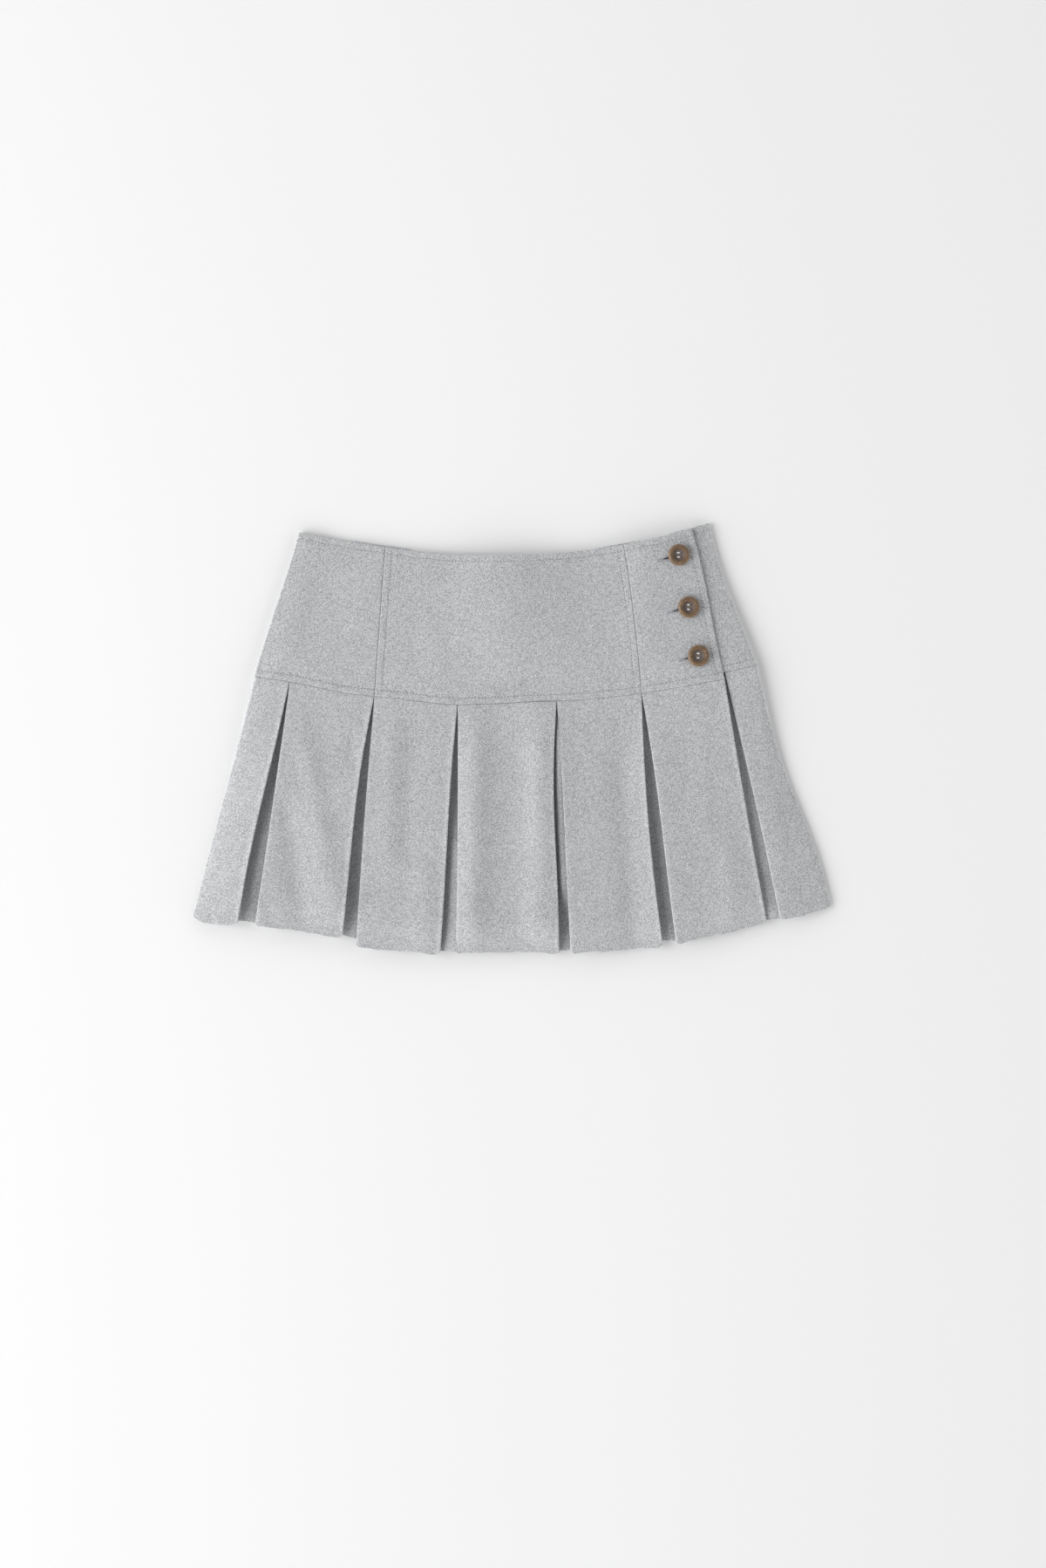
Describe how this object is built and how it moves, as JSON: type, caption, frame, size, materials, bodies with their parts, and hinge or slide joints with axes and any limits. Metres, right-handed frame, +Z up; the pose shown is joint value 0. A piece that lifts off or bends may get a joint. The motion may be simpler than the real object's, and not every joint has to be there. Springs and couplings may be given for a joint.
{
  "type": "mini skirt",
  "caption": "Pleated mini skirt laid flat: low hip yoke with a buttoned side placket over an underlap, and inverted pleats opening towards the hem.",
  "frame": {"origin": "on the surface that the skirt lies on, under the middle of its bounding box", "axes": "+X across the skirt towards its buttoned side, +Y from the hem towards the waist, +Z up through the layers, out of the front"},
  "size_m": [0.5881, 0.3968, 0.0137],
  "materials": {
    "pleated_cloth": "light grey heather wool twill, soft and matt",
    "yoke_cloth": "light grey heather wool twill, faced and topstitched, matt",
    "button": "brown horn look, soft polish, darker well"
  },
  "bodies": {
    "root": {"skirt_front": "pleated_cloth", "skirt_back": "pleated_cloth", "yoke_back": "yoke_cloth", "yoke_front_left": "yoke_cloth", "yoke_front_centre": "yoke_cloth", "yoke_front_placket": "yoke_cloth", "button_1": "button", "button_2": "button", "button_3": "button"}
  },
  "joints": []
}
